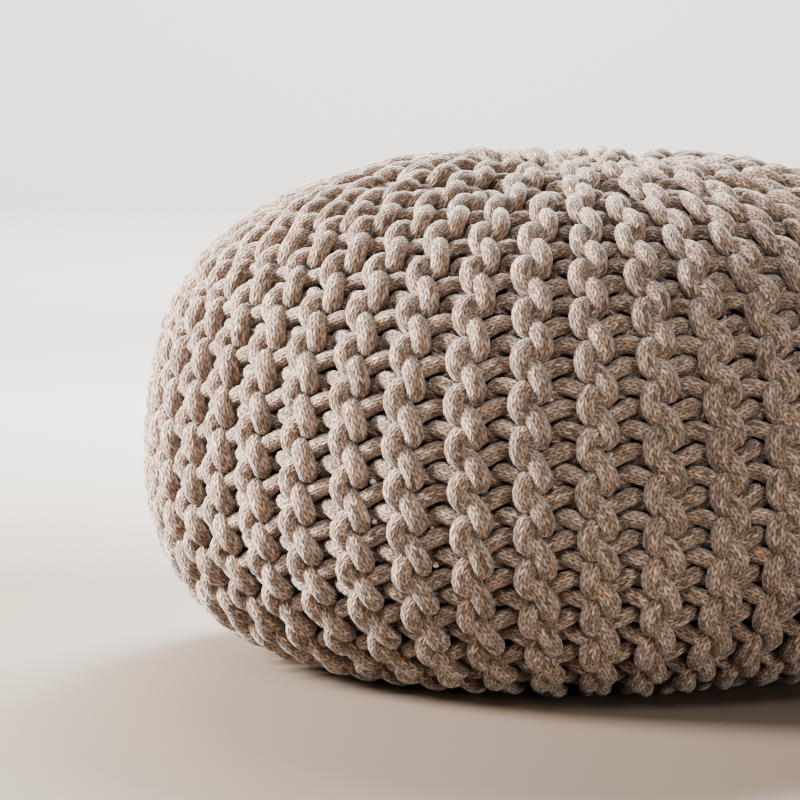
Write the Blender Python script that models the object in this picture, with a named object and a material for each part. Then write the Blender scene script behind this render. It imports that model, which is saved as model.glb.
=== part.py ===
"""Round floor pouf: a tube of thick cotton cord, knitted in ridges, drawn closed at both ends and filled.

The filled cover is one solid. Its ridges run from the middle of the base, up the side and over the
shoulder to the drawn-in middle of the top. Metres, +Z up, origin at the middle of the base.
"""

import math

import bpy

# Driving dimensions, over the crests of the ridges
BODY_RADIUS = 0.270
BODY_HEIGHT = 0.319
WIDEST_LEVEL = 0.121  # height of the widest level above the floor
BASE_RADIUS = 0.156  # the part of the base that is pressed flat
CROWN_FULLNESS = 2.70  # exponents of the two curves of the side: 2 is an ellipse, more is boxier
HAUNCH_FULLNESS = 2.0

# The knit
RIDGES = 44  # at the widest level
CORD_DIAMETER = 0.0100
RIDGE_DEPTH = CORD_DIAMETER  # a ridge stands one cord above the strands between two ridges
CREST_SHARE = 0.32  # share of the ridge pitch that the flat of the crest takes
VALLEY_SHARE = 0.30
SHORT_ROW_RADII = (0.50 * BODY_RADIUS, 0.25 * BODY_RADIUS)  # every other ridge ends at each of these
RIDGE_FADE_RADIUS = 0.050  # nearer the middle than this the ridges flatten out
EYE_RADIUS = 0.024  # the drawn-closed end of the tube

# Unevenness of a filled bag: twist of the ridges, two slow swells and the hollow in the top
TWIST = math.radians(3.6)  # of the top against the base
TWIST_LEVEL = 0.45  # share of the way up at which a ridge keeps its own angle
TWIST_WAVES = 2  # round the body; even, so that the body stays centred, as the waves of the swells are
TWIST_UNEVENNESS = 0.5
TWIST_ANGLE = math.radians(-29)
SWELL_WAVES = 2
SWELL = 0.005  # share of the radius
SWELL_ANGLE = math.radians(35)
RIPPLE_WAVES = 4
RIPPLE = 0.003
RIPPLE_DRIFT = 3.0  # radians that the ripple turns on the way up
CROWN_HOLLOW = 0.020
CROWN_HOLLOW_RADIUS = 0.080

# Mesh and finish
RINGS = 28
PROFILE_STEPS = 400
COTTON_COLOUR = (0.42, 0.33, 0.265, 1.0)
COTTON_ROUGHNESS = 0.92


def clear_scene():
    for scene_object in list(bpy.data.objects):
        bpy.data.objects.remove(scene_object, do_unlink=True)


def cotton_material():
    material = bpy.data.materials.new("taupe_cotton_cord")
    material.use_nodes = True
    shader = material.node_tree.nodes["Principled BSDF"]
    shader.inputs["Base Color"].default_value = COTTON_COLOUR
    shader.inputs["Roughness"].default_value = COTTON_ROUGHNESS
    shader.inputs["Metallic"].default_value = 0.0
    return material


def crown_hollow(radius):
    """How far the filling leaves the middle of the top below the dome."""
    if radius >= CROWN_HOLLOW_RADIUS:
        return 0.0
    return CROWN_HOLLOW * (1 - (radius / CROWN_HOLLOW_RADIUS) ** 2) ** 2


def side_point(turn):
    """(radius, height) on the side: turn runs from -1 at the flat base, by 0 at the widest level, to 1."""
    angle = math.radians(90) * abs(turn)
    if turn < 0:
        across = math.cos(angle) ** (2 / HAUNCH_FULLNESS)
        down = math.sin(angle) ** (2 / HAUNCH_FULLNESS)
        return BASE_RADIUS + (BODY_RADIUS - BASE_RADIUS) * across, WIDEST_LEVEL * (1 - down)
    across = max(math.cos(angle), 0.0) ** (2 / CROWN_FULLNESS)
    up = math.sin(angle) ** (2 / CROWN_FULLNESS)
    radius = BODY_RADIUS * across
    height = WIDEST_LEVEL + (BODY_HEIGHT - WIDEST_LEVEL) * up
    return radius, height - crown_hollow(radius)


def profile():
    """Close points (length so far, radius, height) from the eye in the base to the eye in the top."""
    points = [(EYE_RADIUS, 0.0)]
    points += [side_point(2 * step / PROFILE_STEPS - 1) for step in range(PROFILE_STEPS + 1)]
    points = [point for point in points if point[0] >= EYE_RADIUS]
    walked = [(0.0, *points[0])]
    for before, here in zip(points, points[1:]):
        length = walked[-1][0] + math.dist(before, here)
        walked.append((length, *here))
    return walked


def ring_levels():
    """One (share of the way up, radius, height, outward normal) for each ring, evenly spaced along the side."""
    walked = profile()
    total = walked[-1][0]
    levels = []
    for ring in range(RINGS):
        wanted = total * ring / (RINGS - 1)
        after = next((i for i, point in enumerate(walked) if point[0] >= wanted), len(walked) - 1)
        after = max(after, 1)
        low, high = walked[after - 1], walked[after]
        span = high[0] - low[0]
        share = min(max((wanted - low[0]) / span, 0.0), 1.0)
        radius = low[1] + share * (high[1] - low[1])
        height = low[2] + share * (high[2] - low[2])
        normal = ((high[2] - low[2]) / span, -(high[1] - low[1]) / span)
        levels.append((wanted / total, radius, height, normal))
    return levels


def ridges_at(radius):
    """Short rows: every other ridge ends on the way to the middle, so that the cord is never crowded."""
    return RIDGES // 2 ** sum(radius < limit for limit in SHORT_ROW_RADII)


def twist(share, angle):
    """The ridges lean one way on the side, and more on some parts of the body than on others."""
    unevenness = TWIST_UNEVENNESS * math.cos(TWIST_WAVES * (angle - TWIST_ANGLE))
    return TWIST * (TWIST_LEVEL - share) * (1 + unevenness)


def swell(share, angle):
    """Factor on the radius. Both terms repeat after half a turn, so the body stays centred."""
    slow = SWELL * math.cos(SWELL_WAVES * (angle - SWELL_ANGLE))
    quick = RIPPLE * math.cos(RIPPLE_WAVES * angle + RIPPLE_DRIFT * share)
    return 1 + slow + quick


def ring_points(share, radius, height, normal):
    """Four points for each ridge: the two edges of its crest and the edges of the valleys beside it."""
    count = ridges_at(radius)
    pitch = 2 * math.pi / count
    edges = (
        (-(1 - VALLEY_SHARE) / 2, 1),
        (-CREST_SHARE / 2, 0),
        (CREST_SHARE / 2, 0),
        ((1 - VALLEY_SHARE) / 2, 1),
    )
    depth = RIDGE_DEPTH * min(max((radius - EYE_RADIUS) / (RIDGE_FADE_RADIUS - EYE_RADIUS), 0.0), 1.0)
    points = []
    for ridge in range(count):
        for offset, is_valley in edges:
            angle = pitch * (ridge + offset)
            inward = depth * is_valley
            out = (radius - inward * normal[0]) * swell(share, angle)
            up = height - inward * normal[1]
            angle += twist(share, angle)
            points.append((out * math.sin(angle), -out * math.cos(angle), up))
    return points


def equal_rings(low, high):
    """Faces between two rings of as many points."""
    count = len(low)
    return [
        (low[i], low[(i + 1) % count], high[(i + 1) % count], high[i])
        for i in range(count)
    ]


def halving_rings(many, few):
    """Faces between a ring and one of half as many points: each point of the few fans over two of the many.

    Both rings start at the first edge of ridge 0. The two points of the many that lie beside it are their
    last two, and all the other pairs follow on from there.
    """
    count = len(few)
    faces = []
    for i in range(count):
        first, second, following = many[2 * i - 2], many[2 * i - 1], many[2 * i]
        faces.append((few[i], first, second))
        faces.append((few[i], second, following, few[(i + 1) % count]))
    return faces


def body_mesh():
    vertices = []
    rings = []
    for level in ring_levels():
        points = ring_points(*level)
        rings.append(list(range(len(vertices), len(vertices) + len(points))))
        vertices += points
    faces = [tuple(reversed(rings[0])), tuple(rings[-1])]
    for low, high in zip(rings, rings[1:]):
        if len(low) == len(high):
            faces += equal_rings(low, high)
        elif len(low) < len(high):
            faces += [tuple(reversed(face)) for face in halving_rings(high, low)]
        else:
            faces += halving_rings(low, high)
    mesh = bpy.data.meshes.new("knitted_pouf")
    mesh.from_pydata(vertices, [], faces)
    mesh.validate()
    mesh.shade_smooth()
    return mesh


def main():
    clear_scene()
    pouf = bpy.data.objects.new("knitted_pouf", body_mesh())
    pouf.data.materials.append(cotton_material())
    bpy.context.scene.collection.objects.link(pouf)


main()
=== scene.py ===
"""The looks of the knitted pouf: thick cotton cord in garter stitch over its filling.

Each ridge of the knit is one closed loop of cord: it runs up one row, turns, and runs down the
next. The rows follow the same profile as the solid, so every stitch lies on it. Beads and crumbs of
the filling show in some gaps. Metres, +Z up, origin at the middle of the base.
"""

import math

import bmesh
import bpy
import numpy as np
from mathutils import Matrix, Vector


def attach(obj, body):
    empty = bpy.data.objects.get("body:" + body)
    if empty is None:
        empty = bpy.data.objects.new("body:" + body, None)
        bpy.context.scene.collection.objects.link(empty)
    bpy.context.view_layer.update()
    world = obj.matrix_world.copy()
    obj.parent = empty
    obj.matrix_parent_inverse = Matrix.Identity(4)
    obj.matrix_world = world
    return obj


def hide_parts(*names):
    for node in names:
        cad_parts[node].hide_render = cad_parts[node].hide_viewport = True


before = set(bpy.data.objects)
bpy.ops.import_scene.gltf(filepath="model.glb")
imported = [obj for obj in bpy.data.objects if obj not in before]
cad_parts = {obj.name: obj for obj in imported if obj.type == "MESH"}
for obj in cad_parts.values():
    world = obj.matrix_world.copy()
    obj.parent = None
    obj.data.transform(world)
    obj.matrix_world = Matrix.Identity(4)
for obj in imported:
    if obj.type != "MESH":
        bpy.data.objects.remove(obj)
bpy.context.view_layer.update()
NODE = "knitted_pouf"
BODY = "root"

# Driving dimensions of the body, over the crests of the ridges, as in the solid
BODY_RADIUS = 0.270
BODY_HEIGHT = 0.319
WIDEST_LEVEL = 0.121
BASE_RADIUS = 0.156
CROWN_FULLNESS = 2.70
HAUNCH_FULLNESS = 2.0
EYE_RADIUS = 0.024
CROWN_HOLLOW = 0.020
CROWN_HOLLOW_RADIUS = 0.080
TWIST = math.radians(3.6)
TWIST_LEVEL = 0.45
TWIST_WAVES = 2
TWIST_UNEVENNESS = 0.5
TWIST_ANGLE = math.radians(-29)
SWELL_WAVES = 2
SWELL = 0.005
SWELL_ANGLE = math.radians(35)
RIPPLE_WAVES = 4
RIPPLE = 0.003
RIPPLE_DRIFT = 3.0
PROFILE_STEPS = 400

# The rows. A ridge stands between two rows, and a wale is a line of stitches across all of them.
RIDGES = 44
RIDGE_PITCH = 2 * math.pi / RIDGES
ROW_PITCH = RIDGE_PITCH / 2
ROW_WIDTH = BODY_RADIUS * ROW_PITCH
SHORT_ROW_RADII = (0.50 * BODY_RADIUS, 0.25 * BODY_RADIUS)
SPREAD_LENGTH = 0.020  # over which the other rows close the gap that two ended rows leave
STITCH_PITCH = 0.0260  # at the widest level
CROWN_STRETCH = 1.3  # how much longer a stitch is above it, as the rows are drawn together
HAUNCH_STRETCH = 2.8  # and below it, where the drawing together counts up to a limit
HAUNCH_LIMIT = 0.15
WALE_LENGTH = 0.3700  # up the profile, where wale 0 crosses the ridges

# The cord
CORD_RADIUS = 0.0055
VALLEY_THIN = 0.08  # how much thinner the cord is pulled behind the valleys
VALLEY_FULLNESS = 0.7  # the lower, the further it stays that thin
HEAD_SWELL = 0.10  # how much fuller the loose cord is in front of the ridges
CROWD_SQUEEZE = 0.10  # of the cord where the rows draw together
CROWD_WIDTHS = 0.50, 0.95  # of a row, as shares of ROW_WIDTH: all of the squeeze, and none
EYE_SQUEEZE = 0.80  # share of its thickness that the cord has beside the eyes
EYE_SQUEEZE_RADIUS = 0.070  # where it has all of it

# A loop: its head lies in front on the ridge, and its two legs go back into the valley
LOOP_REACH = 0.828  # of a loop to either side of its row, in row pitches
LOOP_BULGE = 1.36  # how far a loop is rounder than a wave
LOOP_DEPTH = 0.86 * 2 * CORD_RADIUS  # of a loop in front of the middle of the fabric
LOOP_SNAP = 2.2  # how quickly a loop comes forward
HEAD_SHIFT = 0.0017  # the heads of both rows lie more to the left of the ridge
HEAD_LEAN = 0.0072  # the heads of the row left of a ridge lean to the left at their upper end
LEG_LIFT = -0.0028  # puts the lower leg of one row and the upper leg of the other in front
LEG_SLANT = 0.002  # the heads lie lower than the strands in the valleys, by twice this
LEG_REACH = 0.0035  # the legs in front go on further under the next ridge
SHOULDER_WIDEN = 0.0004  # the heads keep their size where the rows draw together on the shoulder
SHOULDER_WIDTH = 0.050  # from the widest level inwards
CROWN_RELIEF = 0.70  # of the loops beside the eyes, against those on the side
CROWN_RELIEF_RADII = 0.040, 0.120  # where they have that share and where they have it all
MID_DEPTH = LOOP_DEPTH + 1.04 * CORD_RADIUS  # of the middle of the fabric below the crests
END_FADE = 0.5  # stitches over which a row comes out of its bend

# Unevenness of the hand knitting, each with the shortest of its waves along the profile
WAVES = 24  # added up in each
ALONG_UNEVENNESS, ALONG_SHORTEST = 0.0007, 0.09
ROUND_UNEVENNESS, ROUND_SHORTEST = 0.0008, 0.09
DEPTH_UNEVENNESS, DEPTH_SHORTEST = 0.0005, 0.08
CORD_UNEVENNESS, CORD_SHORTEST = 0.03, 0.03
LOOPS_MOST_ROUND = 24  # upper limit of the number of a wave's crests round the body
CORD_MOST_ROUND = 60
ROUND_UNEVEN_RADIUS = 0.05  # nearer the middle than this a stitch isn't turned further

# The ends of the tube, each drawn closed by two turns of cord
DRAWSTRING_RADII = 0.0165, 0.0052
DRAWSTRING_DEPTH = 0.010
DRAWSTRING_WOBBLE = 0.05  # share of the radius
DRAWSTRING_CORNERS = 3
DRAWSTRING_TILT = 0.0012  # of a turn, to either side
DRAWSTRING_PHASES = 1000, 500  # radians for each metre of radius, so that no two turns match

# The filling
FILLING_CLEARANCE = 0.001
FILLING_DEPTH = MID_DEPTH + LOOP_DEPTH + CORD_RADIUS + FILLING_CLEARANCE
PALE_RADIUS, OCHRE_RADIUS = (0.0017, 0.0028), (0.0011, 0.0021)
SPECKS = 90, 60  # pale ones and ochre ones
SPECK_RIDGE, SPECK_WALE = 0.31, -0.45  # a gap beside a ridge, in ridges and in wales
SPECK_SCATTER = 0.05, 0.08  # in ridges and in wales
SPECK_WALES = -5, 6  # the lowest, and the first that is too high
SPECK_SQUASH = 0.7, 1.0

# Mesh
FINE_STEPS_A_STITCH = 80  # of a row, before it is thinned out to rings
RINGS_A_STITCH = 24
SIDES = 10
BEND_STEPS = 13
BEND_WINDOW = 17  # fine steps over which the bend of a line is averaged
STRAIGHT_BEND = 60  # added to the bend, so that straight parts get rings as well
DRAWSTRING_RINGS = 48
FILLING_RINGS, FILLING_SIDES = 60, 96
SECTIONS = 6

# Surface of the cord: a fine plaited sleeve
PLAIT_COLUMNS = 16.0  # round the cord
PLAIT_LENGTH = 0.0030  # of one thread along the cord
PLAIT_SLANT = 0.85  # of a thread, in its own lengths across a column
THREAD_FULLNESS = 0.85
COLUMN_FULLNESS = 0.7
BUMP_STRENGTH = 0.6
BUMP_DISTANCE = 0.0012
MAP_SHIFT = 10  # metres along the pattern, at most, at which a loop of cord starts
# The attribute "recess" darkens the cord's colour below the crests: painted shade of the recesses.
RECESS_LIMIT = 0.030  # depth below the crests where the attribute "recess" is 1

# Colours, as stops of ramps. PATCHES ends above 1, so that the patches don't darken the cord as a
# whole.
WHITE = (1.0, 1.0, 1.0)
FLECKS = (
    (0.0, (0.11, 0.075, 0.057)),
    (0.16, (0.25, 0.184, 0.141)),
    (0.50, (0.355, 0.268, 0.212)),
    (0.80, (0.43, 0.335, 0.271)),
    (0.97, (0.54, 0.437, 0.37)),
    (0.988, (0.42, 0.23, 0.11)),
)
# Painted shade in the grooves between the threads of the sleeve.
GROOVE_SHADE = (0.06, (0.26, 0.193, 0.148)), (0.60, WHITE)
TONES = (0.3, (0.79, 0.765, 0.74)), (0.7, (0.96, 0.95, 0.94))
PATCHES = (0.36, (0.60, 0.565, 0.53)), (0.64, (1.27, 1.275, 1.28))
# Painted shade: the cord is darker the deeper it lies below the crests.
RECESS_SHADE = (0.15, WHITE), (0.40, (0.88, 0.87, 0.86)), (0.70, (0.52, 0.495, 0.47))
# Painted shade: the filling is near black, as it lies in the shade of the knit.
FILLING_SHADE = (0.3, (0.032, 0.029, 0.027)), (0.7, (0.062, 0.055, 0.049))
FLOOR = (0.08, (0.120, 0.090, 0.066)), (0.38, (0.43, 0.415, 0.395))
FLOOR_SCALE = 0.25  # ramp positions for each metre away from the camera
PALE_FOAM = (0.80, 0.82, 0.86)
OCHRE_FOAM = (0.62, 0.30, 0.07)
FOAM_SHADE = 0.7

# Studio: a sheet for floor and wall, and the lights
SWEEP_HALF_WIDTH = 5.0
SWEEP_FRONT, SWEEP_BACK = -5.0, 5.6
SWEEP_BEND = 1.0
SWEEP_BEND_POINTS = 13
SWEEP_TOP = 3.0
SWEEP_DROP = 0.0002  # of the floor below the base
WORLD_COLOUR = (1.0, 0.95, 0.89, 1)
WORLD_STRENGTH = 0.11
WINDOW_COLOUR = (1.0, 0.955, 0.91)
BOUNCE_COLOUR = (1.0, 0.90, 0.80)
BACK_COLOUR = (1.0, 0.97, 0.94)
LIGHTS = (  # name, place, target, size, power, colour
    ("window", (-1.22, -0.06, 0.68), (-0.1, 0, 0.16), 0.5, 168, WINDOW_COLOUR),
    ("window edge", (-2.1, -1.3, 1.1), (0, 0, 0.16), 0.8, 10, WINDOW_COLOUR),
    ("front fill", (-0.5, -1.9, 1.9), (0, 0, 0.16), 1.0, 46, WINDOW_COLOUR),
    ("floor bounce", (1.0, -1.7, 0.14), (0.1, 0, 0.06), 0.8, 28, BOUNCE_COLOUR),
    ("wall wash", (0, 2.6, 3.0), (0, 5.0, 0), 2.0, 850, BACK_COLOUR),
    ("back", (0.35, 1.3, 1.20), (0.1, 0, 0.25), 0.7, 190, BACK_COLOUR),
)

# Camera, from the photo's perspective
PIXELS = 800
SENSOR = 36.0
CAMERA_DISTANCE = 2.8
CAMERA_ELEVATION = math.radians(6.0)
CAMERA_AZIMUTH = math.radians(-3.5)
CAMERA_CLIP = 0.05
FOCAL_PIXELS = 4468
AIM_YAW = math.radians(-2.241)
AIM_PITCH = math.radians(5.99)

random = np.random.default_rng(7)


def smooth_step(x):
    """A smooth rise from 0 at 0 to 1 at 1, level outside."""
    x = np.clip(x, 0, 1)
    return x * x * (3 - 2 * x)


def smooth_rise(x, limits):
    """A smooth rise from 0 at the first limit to 1 at the second, level outside."""
    low, high = limits
    return smooth_step((x - low) / (high - low))


# ---------------------------------------------------------------- the profile

def crown_hollow(radius):
    """How far the filling leaves the middle of the top below the dome."""
    share = np.clip(radius / CROWN_HOLLOW_RADIUS, 0, 1)
    return CROWN_HOLLOW * (1 - share**2) ** 2


def side_profile():
    """Arrays of length, radius, height and the normal's parts, from the lower eye to the upper."""
    turn = np.linspace(-1, 1, 2 * PROFILE_STEPS + 1)
    angle = np.radians(90) * np.abs(turn)
    cos, sin = np.clip(np.cos(angle), 0, 1), np.sin(angle)
    low_radius = BASE_RADIUS + (BODY_RADIUS - BASE_RADIUS) * cos ** (2 / HAUNCH_FULLNESS)
    low_height = WIDEST_LEVEL * (1 - sin ** (2 / HAUNCH_FULLNESS))
    high_radius = BODY_RADIUS * cos ** (2 / CROWN_FULLNESS)
    high_height = WIDEST_LEVEL + (BODY_HEIGHT - WIDEST_LEVEL) * sin ** (2 / CROWN_FULLNESS)
    radius = np.where(turn < 0, low_radius, high_radius)
    height = np.where(turn < 0, low_height, high_height - crown_hollow(high_radius))
    flat = np.linspace(EYE_RADIUS, BASE_RADIUS, PROFILE_STEPS, endpoint=False)
    radius, height = np.r_[flat, radius], np.r_[np.zeros_like(flat), height]
    keep = radius >= EYE_RADIUS
    radius, height = radius[keep], height[keep]
    length = np.r_[0, np.cumsum(np.hypot(np.diff(radius), np.diff(height)))]
    even = np.linspace(0, length[-1], PROFILE_STEPS)
    radius, height = np.interp(even, length, radius), np.interp(even, length, height)
    slope_r, slope_z = np.gradient(radius, even), np.gradient(height, even)
    steep = np.hypot(slope_r, slope_z)
    return even, radius, height, slope_z / steep, -slope_r / steep


PROFILE = side_profile()
LENGTHS, RADII, HEIGHTS = PROFILE[:3]
TOTAL = LENGTHS[-1]
WIDEST = int(np.argmax(RADII))
WIDEST_LENGTH = LENGTHS[WIDEST]


def level(length):
    """Radius, height and the outward normal's two parts at lengths up the profile."""
    return [np.interp(length, LENGTHS, column) for column in PROFILE[1:]]


def length_at(radius, top):
    """Where the profile has this radius, on the base or on the top."""
    if top:
        return float(np.interp(-radius, -RADII[WIDEST:], LENGTHS[WIDEST:]))
    return float(np.interp(radius, RADII[: WIDEST + 1], LENGTHS[: WIDEST + 1]))


def on_body(length, angle, depth):
    """Points at these depths below the crests, as an (n, 3) array."""
    radius, height, normal_r, normal_z = level(length)
    share = length / TOTAL
    swell = 1 + SWELL * np.cos(SWELL_WAVES * (angle - SWELL_ANGLE))
    swell += RIPPLE * np.cos(RIPPLE_WAVES * angle + RIPPLE_DRIFT * share)
    out = (radius - depth * normal_r) * swell
    up = height - depth * normal_z
    unevenness = TWIST_UNEVENNESS * np.cos(TWIST_WAVES * (angle - TWIST_ANGLE))
    turned = angle + TWIST * (TWIST_LEVEL - share) * (1 + unevenness)
    return np.stack([out * np.sin(turned), -out * np.cos(turned), up], -1)


# ---------------------------------------------------------------- the rows

def ridge_ends(ridge):
    """Lowest and highest length of a ridge: half of them are short, and a quarter half short."""
    if ridge % 2:
        radius = SHORT_ROW_RADII[0]
    elif ridge % 4:
        radius = SHORT_ROW_RADII[1]
    else:
        return 0.0, TOTAL
    return length_at(radius, False), length_at(radius, True)


def row_spread(ridge, radius):
    """Angle that a row takes, in row pitches: it doubles where the rows beside it have ended."""
    outer = smooth_step((SHORT_ROW_RADII[0] - radius) / SPREAD_LENGTH)
    inner = smooth_step((SHORT_ROW_RADII[1] - radius) / SPREAD_LENGTH)
    if ridge % 2:
        return np.ones_like(radius)
    if ridge % 4:
        return 1 + outer
    return 1 + outer + 2 * inner


def wales():
    """Arrays of the wale that crosses each length of the profile and of the stitch pitch there."""
    width = np.minimum(RADII / BODY_RADIUS * row_spread(0, RADII), 1)
    below = HAUNCH_STRETCH * np.minimum(1 - width, HAUNCH_LIMIT)
    above = CROWN_STRETCH * (1 - width)
    pitch = STITCH_PITCH * (1 + np.where(LENGTHS < WIDEST_LENGTH, below, above))
    count = np.r_[0, np.cumsum(np.diff(LENGTHS) * 2 / (pitch[1:] + pitch[:-1]))]
    return count - np.interp(WALE_LENGTH, LENGTHS, count), pitch


WALES, PITCHES = wales()


class Waves:
    """Slow random unevenness over the body, with a spread of 1."""

    def __init__(self, most_round, shortest):
        self.round = random.integers(2, most_round, WAVES)
        self.along = random.uniform(-1, 1, WAVES) * 2 * math.pi / shortest
        self.phase = random.uniform(0, 2 * math.pi, WAVES)

    def at(self, length, angle):
        waves = [
            np.cos(m * angle + k * length + p)
            for m, k, p in zip(self.round, self.along, self.phase)
        ]
        return np.sum(waves, 0) * math.sqrt(2 / WAVES)


ALONG_WAVES = Waves(LOOPS_MOST_ROUND, ALONG_SHORTEST)
ROUND_WAVES = Waves(LOOPS_MOST_ROUND, ROUND_SHORTEST)
DEPTH_WAVES = Waves(LOOPS_MOST_ROUND, DEPTH_SHORTEST)
CORD_WAVES = Waves(CORD_MOST_ROUND, CORD_SHORTEST)


def row_line(ridge, side, low, high):
    """Length, angle, depth and thickness, step by step, of the cord up one row.

    side is -1 for the row left of the ridge and 1 for the row right of it.
    """
    start, end = np.interp([low, high], LENGTHS, WALES)
    place = np.linspace(start, end, int((end - start) * FINE_STEPS_A_STITCH))
    turn = 2 * math.pi * place
    even_length = np.interp(place, WALES, LENGTHS)
    radius = level(even_length)[0]
    spread = row_spread(ridge, radius)
    fade = smooth_step((place - start) / END_FADE) * smooth_step((end - place) / END_FADE)
    loop = -side * np.cos(turn)  # 1 in front on the ridge, -1 behind in the valley
    leg = -side * np.sin(turn)
    head, valley = (1 + loop) / 2, (1 - loop) / 2

    bulge = LOOP_BULGE * np.interp(place, WALES, PITCHES) / (2 * math.pi)
    length = even_length + fade * (bulge * np.sin(2 * turn) - LEG_SLANT * loop)

    shoulder = smooth_step((BODY_RADIUS - radius) / SHOULDER_WIDTH) * (even_length > WIDEST_LENGTH)
    reach = LOOP_REACH * np.cos(turn)
    if side < 0:
        reach = reach - HEAD_LEAN / ROW_WIDTH * np.sin(turn) * head**2
    reach = reach + LEG_REACH / ROW_WIDTH * np.sin(turn) * valley**2
    reach = reach - side * SHOULDER_WIDEN * shoulder / ROW_WIDTH * head**2
    reach = reach - HEAD_SHIFT / ROW_WIDTH * head**2
    angle = RIDGE_PITCH * ridge + ROW_PITCH * spread * (side / 2 + fade * reach)

    forward = LOOP_DEPTH * np.sign(loop) * np.abs(loop) ** LOOP_SNAP
    forward = forward + LEG_LIFT * leg * (1 - loop)
    relief = CROWN_RELIEF + (1 - CROWN_RELIEF) * smooth_rise(radius, CROWN_RELIEF_RADII)
    depth = CORD_RADIUS + relief * (MID_DEPTH - CORD_RADIUS - fade * forward)

    turning = ROUND_UNEVENNESS / np.maximum(radius, ROUND_UNEVEN_RADIUS)
    length = length + ALONG_UNEVENNESS * ALONG_WAVES.at(length, angle)
    angle = angle + turning * ROUND_WAVES.at(length, angle)
    depth = depth + DEPTH_UNEVENNESS * DEPTH_WAVES.at(length, angle)

    room = smooth_rise(radius * spread / BODY_RADIUS, CROWD_WIDTHS)
    thickness = 1 - VALLEY_THIN * fade * valley**VALLEY_FULLNESS - CROWD_SQUEEZE * (1 - room)
    thickness = thickness + HEAD_SWELL * room * fade * head**2
    thickness = thickness + CORD_UNEVENNESS * CORD_WAVES.at(length, angle)
    return np.stack([length, angle, depth, thickness], -1)


def turn_back(before, after, outward):
    """The bend that joins two rows' ends; outward is 1 towards the top and -1 towards the base."""
    swing = np.linspace(0, math.pi, BEND_STEPS + 1)[1:-1]
    middle, half = (before + after) / 2, (after - before) / 2
    line = middle - np.cos(swing)[:, None] * half
    width = abs(half[1]) * max(level(middle[0])[0], EYE_RADIUS)
    line[:, 0] = middle[0] + outward * np.sin(swing) * width
    return line


def ridge_line(ridge):
    """The closed centre line of a ridge's cord, as points with its thickness, and its stitches."""
    low, high = ridge_ends(ridge)
    up = row_line(ridge, -1, low, high)
    down = row_line(ridge, 1, low, high)[::-1]
    bends = turn_back(up[-1], down[0], 1), turn_back(down[-1], up[0], -1)
    line = np.concatenate([up, bends[0], down, bends[1]])
    points = on_body(np.clip(line[:, 0], 0, TOTAL), line[:, 1], line[:, 2])
    return np.column_stack([points, line[:, 3]]), len(up) / FINE_STEPS_A_STITCH


def resampled(points, count):
    """A closed line again, with more of its points where it bends."""
    closed = np.concatenate([points, points[:1]])
    steps = np.diff(closed[:, :3], axis=0)
    step = np.linalg.norm(steps, axis=1)
    direction = steps / step[:, None]
    bend = np.linalg.norm(direction - np.roll(direction, 1, 0), axis=1) / step
    beside = BEND_WINDOW // 2
    bend = np.r_[bend[-beside:], bend, bend[:beside]]
    bend = np.convolve(bend, np.ones(BEND_WINDOW) / BEND_WINDOW, "valid")
    walked = np.r_[0, np.cumsum(np.sqrt(bend + STRAIGHT_BEND) * step)]
    wanted = np.linspace(0, walked[-1], count, endpoint=False)
    return np.stack([np.interp(wanted, walked, column) for column in closed.T], -1)


# ---------------------------------------------------------------- the cord round its lines

def cord_radius(line):
    """The cord is squeezed where the rows crowd round an eye."""
    away = np.hypot(line[:, 0], line[:, 1])
    free = smooth_rise(away, (EYE_RADIUS, EYE_SQUEEZE_RADIUS))
    return CORD_RADIUS * line[:, 3] * (EYE_SQUEEZE + (1 - EYE_SQUEEZE) * free)


def tube(points, radius):
    """Rings of vertices round a closed line, untwisted, and the length up to each ring."""
    direction = np.roll(points, -1, 0) - np.roll(points, 1, 0)
    direction = direction / np.linalg.norm(direction, axis=-1, keepdims=True)
    across = np.empty_like(points)
    first = np.cross(direction[0], points[0])
    across[0] = first / np.linalg.norm(first)
    for i in range(1, len(points)):
        turned = across[i - 1] - direction[i] * (across[i - 1] @ direction[i])
        across[i] = turned / math.sqrt(turned @ turned)
    other = np.cross(direction, across)
    last = across[-1] - direction[0] * (across[-1] @ direction[0])
    error = math.atan2(last @ other[0], last @ across[0])
    undo = -error * np.arange(len(points)) / len(points)
    swing = np.linspace(0, 2 * math.pi, SIDES, endpoint=False) + undo[:, None]
    cos, sin = np.cos(swing)[..., None], np.sin(swing)[..., None]
    rings = points[:, None] + radius[:, None, None] * (cos * across[:, None] + sin * other[:, None])
    walked = np.cumsum(np.linalg.norm(np.roll(points, -1, 0) - points, axis=1))
    return rings, np.r_[0, walked]


def tube_faces(count, first_vertex):
    """Quads of a closed tube of that many rings."""
    ring = np.arange(count)[:, None]
    side = np.arange(SIDES)[None]
    next_ring, next_side = (ring + 1) % count, (side + 1) % SIDES
    corners = [
        ring * SIDES + side,
        next_ring * SIDES + side,
        next_ring * SIDES + next_side,
        ring * SIDES + next_side,
    ]
    return np.stack(corners, -1).reshape(-1, 4) + first_vertex


def tube_map(walked):
    """The quads' corners as (turns round the cord, metres along it)."""
    count = len(walked) - 1
    side = np.broadcast_to(np.arange(SIDES)[None], (count, SIDES)) / SIDES
    start = np.broadcast_to(walked[:-1, None], (count, SIDES))
    end = np.broadcast_to(walked[1:, None], (count, SIDES))
    step = 1 / SIDES
    corners = [(side, start), (side, end), (side + step, end), (side + step, start)]
    return np.stack([np.stack(corner, -1) for corner in corners], 2).reshape(-1, 2)


def mesh_object(name, vertices, faces, material, corner_map=None):
    mesh = bpy.data.meshes.new(name)
    mesh.from_pydata(vertices, [], faces)
    mesh.shade_smooth()
    mesh.materials.append(material)
    if corner_map is not None:
        layer = mesh.uv_layers.new(name="cord")
        layer.uv.foreach_set("vector", np.ascontiguousarray(corner_map, np.float32).ravel())
    made = bpy.data.objects.new(name, mesh)
    bpy.context.scene.collection.objects.link(made)
    return made


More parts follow.
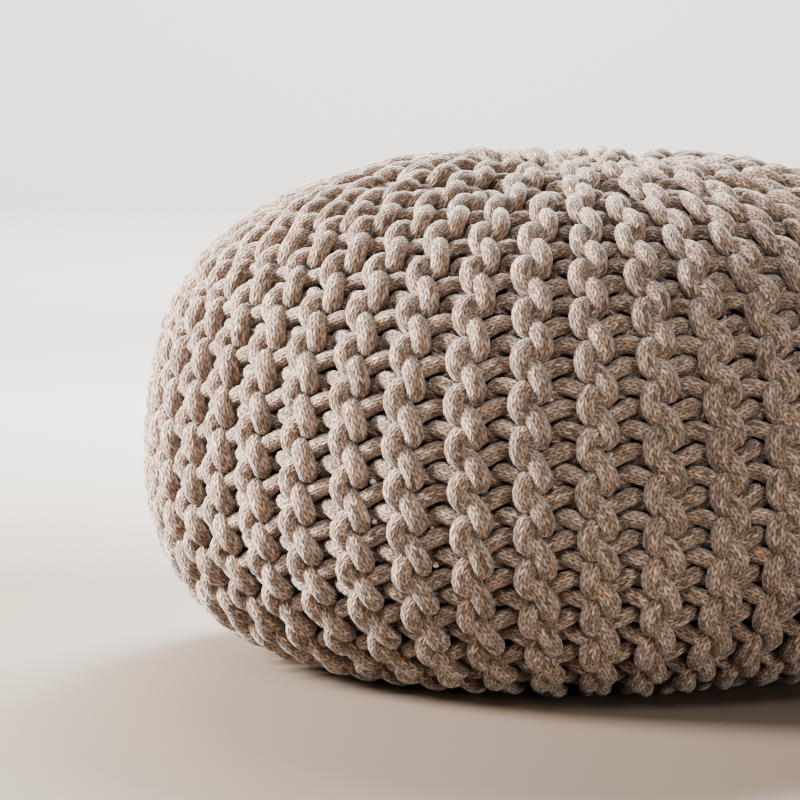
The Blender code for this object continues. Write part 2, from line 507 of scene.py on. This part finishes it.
def recess(points):
    """How far below the crests these points lie, as a share of the limit."""
    out = np.hypot(points[:, 0], points[:, 1])
    nearest = np.full(len(points), np.inf)
    for radius, height in zip(RADII[::2], HEIGHTS[::2]):
        nearest = np.minimum(nearest, (out - radius) ** 2 + (points[:, 2] - height) ** 2)
    return np.sqrt(nearest) / RECESS_LIMIT


def knit_piece(name, lines, material):
    """One mesh of closed cords along these lines."""
    vertices, faces, maps = [], [], []
    made = 0
    for line in lines:
        rings, walked = tube(line[:, :3], cord_radius(line))
        vertices.append(rings.reshape(-1, 3))
        faces.append(tube_faces(len(line), made))
        maps.append(tube_map(walked) + [0, random.uniform(0, MAP_SHIFT)])
        made += len(line) * SIDES
    points = np.concatenate(vertices)
    points[:, 2] = np.maximum(points[:, 2], 0)
    piece = mesh_object(name, points, np.concatenate(faces), material, np.concatenate(maps))
    # Depth below the crests, which paints shade into the cord's colour.
    layer = piece.data.attributes.new("recess", "FLOAT", "POINT")
    layer.data.foreach_set("value", recess(points).astype(np.float32))
    return piece


def knit_section(index, material):
    """An equal share of the ridges."""
    lines = []
    for ridge in range(index * RIDGES // SECTIONS, (index + 1) * RIDGES // SECTIONS):
        line, stitches = ridge_line(ridge)
        lines.append(resampled(line, int(2 * stitches * RINGS_A_STITCH)))
    return knit_piece(f"knit_section_{index + 1}", lines, material)


def drawstrings(material):
    """Two turns of cord that close each end of the tube."""
    swing = np.linspace(0, 2 * math.pi, DRAWSTRING_RINGS, endpoint=False)
    wobble_phase, tilt_phase = DRAWSTRING_PHASES
    lines = []
    for length, inward in ((0.0, 1), (TOTAL, -1)):
        height = level(length)[1] + inward * DRAWSTRING_DEPTH
        for radius in DRAWSTRING_RADII:
            wobble = DRAWSTRING_WOBBLE * np.cos(DRAWSTRING_CORNERS * swing + radius * wobble_phase)
            out = radius * (1 + wobble)
            rise = DRAWSTRING_TILT * np.cos(swing + radius * tilt_phase)
            line = [out * np.sin(swing), -out * np.cos(swing), height + rise, np.ones_like(swing)]
            lines.append(np.stack(line, -1))
    return knit_piece("drawstrings", lines, material)


# ---------------------------------------------------------------- the filling

def filling(material):
    """The filled inside, close behind the knit."""
    length = np.linspace(0, TOTAL, FILLING_RINGS)
    angle = np.linspace(0, 2 * math.pi, FILLING_SIDES, endpoint=False)
    lengths, angles = np.meshgrid(length, angle, indexing="ij")
    points = on_body(lengths.ravel(), angles.ravel(), FILLING_DEPTH)
    ring = np.arange(FILLING_RINGS - 1)[:, None] * FILLING_SIDES
    side = np.arange(FILLING_SIDES)[None]
    corners = [ring + side, ring + (side + 1) % FILLING_SIDES]
    corners += [corner + FILLING_SIDES for corner in reversed(corners)]
    faces = [tuple(quad) for quad in np.stack(corners, -1).reshape(-1, 4).tolist()]
    faces.append(tuple(reversed(range(FILLING_SIDES))))
    faces.append(tuple(range(len(points) - FILLING_SIDES, len(points))))
    return mesh_object("filling", points, faces, material)


def specks(name, count, radius, material):
    """Beads or crumbs of the filling in the gaps between the strands, where a few of them show."""
    ball = bmesh.new()
    bmesh.ops.create_icosphere(ball, subdivisions=2, radius=1)
    corners = np.array([vertex.co[:] for vertex in ball.verts])
    triangles = np.array([[vertex.index for vertex in face.verts] for face in ball.faces])
    ball.free()
    points, faces = [], []
    for number in range(count):
        shift = random.uniform(-1, 1, 2) * SPECK_SCATTER
        ridge = random.integers(RIDGES) + SPECK_RIDGE + shift[0]
        wale = random.integers(*SPECK_WALES) + SPECK_WALE + shift[1]
        place = on_body(np.interp(wale, WALES, LENGTHS), RIDGE_PITCH * ridge, MID_DEPTH)
        size = random.uniform(*radius) * random.uniform(*SPECK_SQUASH, 3)
        points.append(place + corners * size)
        faces.append(triangles + number * len(corners))
    return mesh_object(name, np.concatenate(points), np.concatenate(faces), material)


# ---------------------------------------------------------------- materials

class Nodes:
    """Short calls for a material's nodes. A source is a socket to link or a value to set."""

    def __init__(self, name):
        self.material = bpy.data.materials.new(name)
        self.material.use_nodes = True
        self.tree = self.material.node_tree
        self.shader = self.tree.nodes["Principled BSDF"]

    def put(self, socket, source):
        if isinstance(source, bpy.types.NodeSocket):
            self.tree.links.new(source, socket)
        else:
            socket.default_value = source

    def node(self, kind, inputs):
        """A new node with these inputs, by name or number."""
        node = self.tree.nodes.new(kind)
        for key, source in inputs.items():
            self.put(node.inputs[key], source)
        return node

    def finished(self, inputs):
        """The material, once these inputs of its shader are set."""
        for name, source in inputs.items():
            self.put(self.shader.inputs[name], source)
        return self.material

    def math(self, operation, *sources):
        node = self.node("ShaderNodeMath", dict(enumerate(sources)))
        node.operation = operation
        return node.outputs[0]

    def multiplied(self, first, *others):
        """Colours multiplied one after another."""
        for other in others:
            node = self.tree.nodes.new("ShaderNodeMix")
            node.data_type = "RGBA"
            node.blend_type = "MULTIPLY"
            for number, source in ((0, 1.0), (6, first), (7, other)):
                self.put(node.inputs[number], source)
            first = node.outputs[2]
        return first

    def ramp(self, source, stops):
        node = self.node("ShaderNodeValToRGB", {0: source})
        elements = node.color_ramp.elements
        while len(elements) < len(stops):
            elements.new(0.5)
        for element, (position, colour) in zip(elements, stops):
            element.position = position
            element.color = (*colour, 1)
        return node.outputs[0]

    def object_place(self):
        return self.tree.nodes.new("ShaderNodeTexCoord").outputs["Object"]

    def clouds(self, stops, scale, detail):
        """A ramp of colours over soft noise in the object's own space."""
        inputs = {"Vector": self.object_place(), "Scale": scale, "Detail": detail}
        return self.ramp(self.node("ShaderNodeTexNoise", inputs).outputs[0], stops)


def plait(n):
    """Height and a random value for each thread of the cord's sleeve.

    The threads lie in columns along the cord and lean one way and the other by turns.
    """
    cord_map = n.tree.nodes.new("ShaderNodeUVMap")
    cord_map.uv_map = "cord"
    turns, metres, _ = n.node("ShaderNodeSeparateXYZ", {0: cord_map.outputs[0]}).outputs
    column_place = n.math("MULTIPLY", turns, PLAIT_COLUMNS)
    column = n.math("FLOOR", column_place)
    across = n.math("SUBTRACT", column_place, column)
    lean = n.math("SUBTRACT", n.math("MULTIPLY", n.math("MODULO", column, 2.0), 2.0), 1.0)
    slant = n.math("MULTIPLY", n.math("SUBTRACT", across, 0.5), lean)
    slant = n.math("MULTIPLY", slant, PLAIT_SLANT)
    along = n.math("ADD", n.math("DIVIDE", metres, PLAIT_LENGTH), slant)
    thread = n.math("FLOOR", along)
    in_thread = n.math("SUBTRACT", along, thread)
    round_thread = n.math("SINE", n.math("MULTIPLY", in_thread, math.pi))
    round_column = n.math("SINE", n.math("MULTIPLY", across, math.pi))
    round_thread = n.math("POWER", round_thread, THREAD_FULLNESS)
    round_column = n.math("POWER", round_column, COLUMN_FULLNESS)
    place = n.node("ShaderNodeCombineXYZ", {0: column, 1: thread})
    noise = n.tree.nodes.new("ShaderNodeTexWhiteNoise")
    noise.noise_dimensions = "2D"
    n.put(noise.inputs["Vector"], place.outputs[0])
    return n.math("MULTIPLY", round_thread, round_column), noise.outputs[0]


def cotton():
    """Heathered cotton: light and dark threads and a few ochre ones, with painted shade in the
    grooves between the threads and in the recesses below the crests.
    """
    n = Nodes("cotton_cord")
    height, chance = plait(n)
    # The depth below the crests, for the painted shade of the recesses.
    depth = n.tree.nodes.new("ShaderNodeAttribute")
    depth.attribute_name = "recess"
    colour = n.multiplied(
        n.ramp(chance, FLECKS),
        # painted shade in the grooves between the threads
        n.ramp(height, GROOVE_SHADE),
        n.clouds(TONES, scale=14.0, detail=3.0),
        n.clouds(PATCHES, scale=300.0, detail=2.0),
        n.ramp(depth.outputs["Fac"], RECESS_SHADE),
    )
    bump = {"Strength": BUMP_STRENGTH, "Distance": BUMP_DISTANCE, "Height": height}
    return n.finished({
        "Base Color": colour,
        "Normal": n.node("ShaderNodeBump", bump).outputs[0],
        "Roughness": 0.95,
        "Specular IOR Level": 0.2,
        "Sheen Weight": 0.25,
        "Sheen Roughness": 0.5,
    })


def speck_material(name, colour):
    n = Nodes(name)
    darker = tuple(FOAM_SHADE * part for part in colour)
    mottled = n.clouds(((0.35, darker), (0.65, colour)), scale=900.0, detail=2.0)
    return n.finished({"Base Color": mottled, "Roughness": 0.7})


def shaded_filling():
    """The inside as it shows through the gaps, painted near black as the shade of the knit."""
    n = Nodes("shaded_filling")
    colour = n.clouds(FILLING_SHADE, scale=60.0, detail=4.0)
    return n.finished({"Base Color": colour, "Roughness": 0.95})


def floor_material():
    """Pale, and deeper towards the camera."""
    n = Nodes("pale_floor")
    parts = n.node("ShaderNodeSeparateXYZ", {0: n.object_place()}).outputs
    away = n.math("MULTIPLY", parts[1], FLOOR_SCALE)
    return n.finished({"Base Color": n.ramp(away, FLOOR), "Roughness": 0.6})


# ---------------------------------------------------------------- studio

def studio_sweep(material):
    """Pale floor that turns up into the wall behind the pouf."""
    wall_start = SWEEP_BACK - SWEEP_BEND
    line = [(SWEEP_FRONT, -SWEEP_DROP)]
    for swing in np.linspace(0, math.pi / 2, SWEEP_BEND_POINTS):
        out, up = SWEEP_BEND * math.sin(swing), SWEEP_BEND * math.cos(swing)
        line.append((wall_start + out, SWEEP_BEND - up - SWEEP_DROP))
    line.append((SWEEP_BACK, SWEEP_TOP))
    points = [(x, y, z) for y, z in line for x in (-SWEEP_HALF_WIDTH, SWEEP_HALF_WIDTH)]
    faces = [(2 * i, 2 * i + 1, 2 * i + 3, 2 * i + 2) for i in range(len(line) - 1)]
    sweep = mesh_object("studio_sweep", points, faces, material)


def area_light(name, place, target, size, power, colour):
    light = bpy.data.lights.new(name, "AREA")
    light.shape = "DISK"
    light.size = size
    light.energy = power
    light.color = colour
    made = bpy.data.objects.new(name, light)
    made.location = place
    made.rotation_mode = "QUATERNION"
    made.rotation_quaternion = (Vector(target) - Vector(place)).to_track_quat("-Z", "Y")
    bpy.context.scene.collection.objects.link(made)


def lights():
    world = bpy.data.worlds.new("studio")
    world.use_nodes = True
    background = world.node_tree.nodes["Background"]
    background.inputs["Color"].default_value = WORLD_COLOUR
    background.inputs["Strength"].default_value = WORLD_STRENGTH
    bpy.context.scene.world = world
    for light in LIGHTS:
        area_light(*light)


def camera():
    data = bpy.data.cameras.new("camera")
    data.sensor_width = SENSOR
    data.lens = FOCAL_PIXELS / PIXELS * SENSOR
    data.clip_start = CAMERA_CLIP
    made = bpy.data.objects.new("camera", data)
    turned = Matrix.Rotation(CAMERA_AZIMUTH, 3, "Z")
    away = Vector((0, -math.cos(CAMERA_ELEVATION), math.sin(CAMERA_ELEVATION)))
    place = Vector((0, 0, BODY_HEIGHT / 2)) + CAMERA_DISTANCE * (turned @ away)
    ahead = math.cos(AIM_PITCH)
    forward = Vector((math.sin(AIM_YAW) * ahead, math.cos(AIM_YAW) * ahead, -math.sin(AIM_PITCH)))
    forward = turned @ forward
    right = turned @ Vector((math.cos(AIM_YAW), -math.sin(AIM_YAW), 0))
    up = right.cross(forward)
    axes = Matrix((right, up, -forward)).transposed()
    made.matrix_world = Matrix.Translation(place) @ axes.to_4x4()
    bpy.context.scene.collection.objects.link(made)
    bpy.context.scene.camera = made


def main():
    camera()
    lights()
    studio_sweep(floor_material())
    inside = filling(shaded_filling())
    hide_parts(NODE)
    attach(inside, BODY)
    cord = cotton()
    pale, ochre = speck_material("pale_foam", PALE_FOAM), speck_material("ochre_foam", OCHRE_FOAM)
    sections = [knit_section(index, cord) for index in range(SECTIONS)]
    sections.append(drawstrings(cord))
    sections.append(specks("pale_specks", SPECKS[0], PALE_RADIUS, pale))
    sections.append(specks("ochre_specks", SPECKS[1], OCHRE_RADIUS, ochre))
    for section in sections:
        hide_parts(NODE)
        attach(section, BODY)


main()
